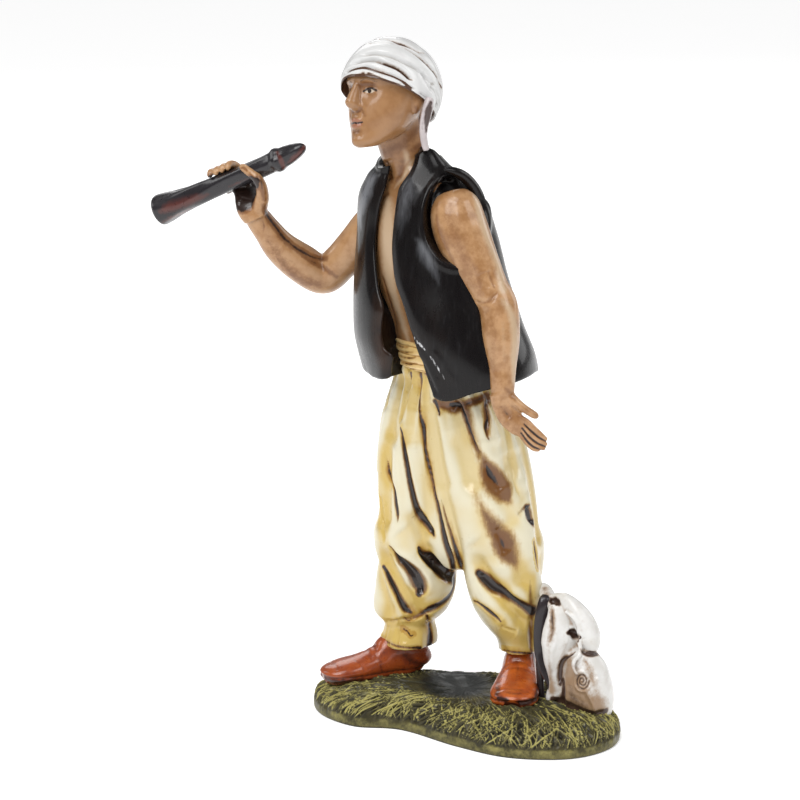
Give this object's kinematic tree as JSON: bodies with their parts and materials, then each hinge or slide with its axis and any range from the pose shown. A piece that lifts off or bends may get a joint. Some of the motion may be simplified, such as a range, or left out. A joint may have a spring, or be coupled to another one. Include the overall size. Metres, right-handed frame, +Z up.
{
  "type": "presepe figure",
  "caption": "Moulded and painted nativity figure of a pipe player in a turban, open waistcoat and full trousers, standing on a grassy mound beside a cloth bundle.",
  "frame": {"origin": "on the flat underside, at the middle of the mound's length and depth", "axes": "+Z up; -Y is the way the figure faces; +X is its left"},
  "size_m": [0.0811, 0.044, 0.1196],
  "materials": {
    "trousers": "cream and ochre paint under gloss varnish",
    "skin": "tan paint with a brown wash under gloss varnish",
    "waistcoat": "black paint under gloss varnish",
    "sash": "pale yellow paint with dark lines under gloss varnish",
    "shoes": "terracotta paint under gloss varnish",
    "turban": "white paint with a brown wash in the creases",
    "pipe": "dark brown paint, worn red in places, under gloss varnish",
    "bundle": "white paint with a beige wash",
    "grass": "olive paint with a dark wash and yellow-green blades"
  },
  "bodies": {
    "root": {"figure": "trousers"}
  },
  "joints": []
}
